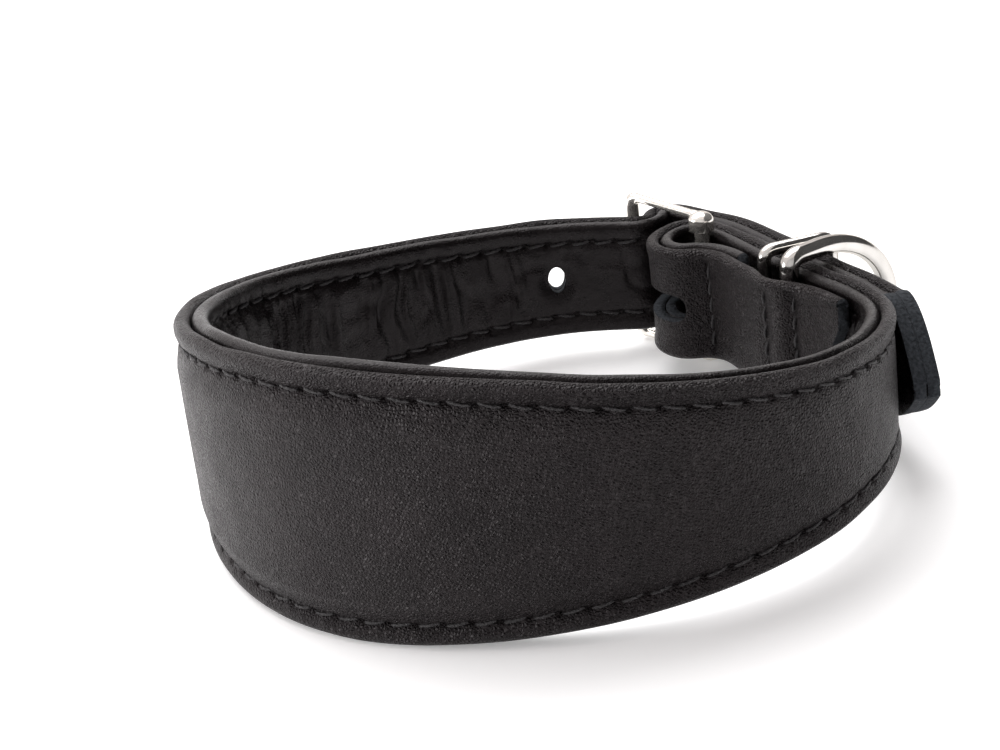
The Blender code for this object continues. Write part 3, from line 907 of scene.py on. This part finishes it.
def heel_post(name, sign):
    """Thick domed end of the heel bar, just past the strap's edge."""
    foot = STRAP_WIDTH / 2 + 0.45
    dome = POST_RADIUS * 0.75
    t = np.linspace(0, math.pi / 2, 10)
    levels = [foot, foot + 0.25, *(POST_TOP - dome + dome * np.sin(t))]
    radii = [POST_RADIUS - 0.5, POST_RADIUS, *(POST_RADIUS * np.maximum(np.cos(t), 0.03))]
    angles = np.arange(36) * 2 * math.pi / 36
    rings = []
    for level, radius in zip(levels, radii):
        x = HEEL_BAR[0] + radius * np.cos(angles)
        y = HEEL_BAR[1] + radius * np.sin(angles)
        rings.append(to_world(x, y, middle_height(x, y) + sign * level))
    # The posts take the lighter nickel, painted bright as a painted highlight.
    return skin(name, rings, [NICKEL_PAINTED_BRIGHT])


def make_prong():
    start, end = prong_line()
    direction = unit(end - start)
    middle = middle_height(*HEEL_BAR)
    reach = float(np.linalg.norm(end - start)) + PRONG_OVERHANG
    t = np.linspace(0, 1, 40)
    run = PRONG_START + (reach - PRONG_START) * t
    radii = PRONG_RADIUS * (1.0 + 0.10 * (1 - t)) * np.sqrt(np.clip(1 - t ** 14, 0.02, 1))
    angles = np.arange(20) * 2 * math.pi / 20
    across = np.array([-direction[1], direction[0]])
    plan = start[None, :] + run[:, None] * direction[None, :]
    x = plan[:, :1] + radii[:, None] * np.cos(angles) * across[0]
    y = plan[:, 1:] + radii[:, None] * np.cos(angles) * across[1]
    z = middle + radii[:, None] * np.sin(angles)
    shank = skin("prong_shank", to_world(x, y, z), [NICKEL])
    attach(shank, "tongue", "nickel", "prong")
    bore = HEEL_RADIUS + 0.3
    wall = LOOP_RADIUS - bore
    turns = np.linspace(0, 2 * math.pi, 48, endpoint=False)
    section = np.arange(16) * 2 * math.pi / 16
    square = np.sign(np.cos(section)) * np.abs(np.cos(section)) ** 0.5
    rise = np.sign(np.sin(section)) * np.abs(np.sin(section)) ** 0.5
    radius = bore + wall / 2 + wall / 2 * square
    x = HEEL_BAR[0] + np.cos(turns)[:, None] * radius
    y = HEEL_BAR[1] + np.sin(turns)[:, None] * radius
    z = middle + LOOP_HALF_HEIGHT * rise[None, :] + 0 * x
    loop = skin("prong_loop", to_world(x, y, z), [NICKEL], loop=True)
    attach(loop, "tongue", "nickel")


def make_keeper():
    half = KEEPER_HALF_HEIGHT
    outline = rounded_outline([(0, -half), (0, half), (KEEPER_DEPTH, half),
                               (KEEPER_DEPTH, -half)], KEEPER_CORNER)
    made = upright_loop("keeper_wire", KEEPER_BAR, math.radians(KEEPER_AIM), outline,
                        [KEEPER_RADIUS] * len(outline))
    attach(made, "keeper", "nickel", "metal_keeper")


def make_lead_ring():
    half = RING_HALF_HEIGHT
    far = 2 * RING_STRAIGHT
    sides = rounded_outline([(far, -half), (0, -half), (0, half), (far, half)],
                            RING_CORNER)
    sides = sides[sides[:, 0] < RING_STRAIGHT - 0.3]
    start = int(np.argmin(sides[:, 1] * 100 - sides[:, 0]))
    sides = np.roll(sides, -start, axis=0)
    angles = np.linspace(0, math.pi, 60)
    bow = np.stack([RING_STRAIGHT + (RING_DEPTH - RING_STRAIGHT) * np.sin(angles),
                    half * np.cos(angles)], axis=1)
    outline = np.vstack([sides, bow])
    made = upright_loop("lead_ring_wire", RING_BAR, math.radians(RING_AIM), outline,
                        [RING_RADIUS] * len(outline), sides=24)
    attach(made, "ring", "nickel", "lead_ring")


# ---- floor, light and camera ---------------------------------------------------------
def make_floor():
    size = FLOOR_SIZE
    corners = [(-size, -size, 0), (size, -size, 0), (size, size, 0), (-size, size, 0)]
    mesh = bpy.data.meshes.new("floor")
    mesh.from_pydata(corners, [], [(0, 1, 2, 3)])
    paper = bpy.data.materials.new("white_paper")
    paper.use_nodes = True
    shader = paper.node_tree.nodes["Principled BSDF"]
    shader.inputs["Base Color"].default_value = (0.93, 0.93, 0.935, 1)
    shader.inputs["Roughness"].default_value = 0.9
    shader.inputs["Specular IOR Level"].default_value = 0.1
    shader.inputs["Emission Color"].default_value = (1, 1, 1, 1)
    shader.inputs["Emission Strength"].default_value = 0.24
    mesh.materials.append(paper)
    made = bpy.data.objects.new("floor", mesh)
    made.location.z = -0.0003
    bpy.context.scene.collection.objects.link(made)


def area_light(name, place, aim, size, power):
    lamp = bpy.data.lights.new(name, "AREA")
    lamp.shape = "RECTANGLE"
    lamp.size, lamp.size_y = size
    lamp.energy = power
    made = bpy.data.objects.new(name, lamp)
    made.location = place
    made.rotation_mode = "QUATERNION"
    made.rotation_quaternion = (Vector(aim) - Vector(place)).to_track_quat("-Z", "Y")
    bpy.context.scene.collection.objects.link(made)


def shade_card(name, corners, tone):
    """A grey card outside the view, which gives the object a dark side."""
    mesh = bpy.data.meshes.new(name)
    mesh.from_pydata(corners, [], [(0, 1, 2, 3)])
    paper = bpy.data.materials.new(name + "_paper")
    paper.use_nodes = True
    shader = paper.node_tree.nodes["Principled BSDF"]
    shader.inputs["Base Color"].default_value = (tone, tone, tone, 1)
    shader.inputs["Roughness"].default_value = 0.9
    mesh.materials.append(paper)
    made = bpy.data.objects.new(name, mesh)
    made.visible_camera = False
    bpy.context.scene.collection.objects.link(made)


def upright_card(name, start, end, tone):
    """A card that stands on the line between two plan points, in metres."""
    corners = [(*start, CARD_FOOT), (*end, CARD_FOOT), (*end, CARD_TOP), (*start, CARD_TOP)]
    shade_card(name, corners, tone)


def make_cards():
    upright_card("right_card", (0.75, -CARD_REACH), (0.75, CARD_REACH), 0.03)
    upright_card("front_card", (-CARD_REACH, -1.1), (0.7, -1.1), 0.60)


def make_lights():
    world = bpy.data.worlds.new("studio")
    world.use_nodes = True
    light = world.node_tree.nodes["Background"]
    light.inputs["Color"].default_value = (1.0, 0.945, 0.935, 1)
    light.inputs["Strength"].default_value = 0.95
    bpy.context.scene.world = world
    area_light("overhead", (-0.15, 0.45, 0.85), (0, 0, 0.02), (1.2, 0.9), 14.0)
    area_light("left_side", (-0.85, -0.05, 0.17), (0, 0, 0.02), (0.5, 0.25), 3.4)
    bpy.context.scene.view_settings.view_transform = "Standard"


def make_camera():
    """A short telephoto view from the front, rolled a few degrees."""
    elevation = math.radians(CAMERA_ELEVATION)
    roll = math.radians(CAMERA_ROLL)
    target = Vector((-ORIGIN[0] * MM, -ORIGIN[1] * MM, CAMERA_AIM_HEIGHT))
    back = Vector((0, -math.cos(elevation), math.sin(elevation)))
    level_right = Vector((1, 0, 0))
    level_up = back.cross(level_right)
    right = math.cos(roll) * level_right + math.sin(roll) * level_up
    up = -math.sin(roll) * level_right + math.cos(roll) * level_up
    data = bpy.data.cameras.new("camera")
    data.sensor_width = SENSOR_WIDTH
    data.lens = FOCAL_LENGTH
    camera = bpy.data.objects.new("camera", data)
    place = target + CAMERA_DISTANCE * back
    camera.matrix_world = Matrix(((right.x, up.x, back.x, place.x),
                                  (right.y, up.y, back.y, place.y),
                                  (right.z, up.z, back.z, place.z), (0, 0, 0, 1)))
    bpy.context.scene.collection.objects.link(camera)
    bpy.context.scene.camera = camera


make_camera()
make_leather()
make_padding()
make_stitching()
make_frame()
make_prong()
make_keeper()
make_lead_ring()
make_floor()
make_cards()
make_lights()
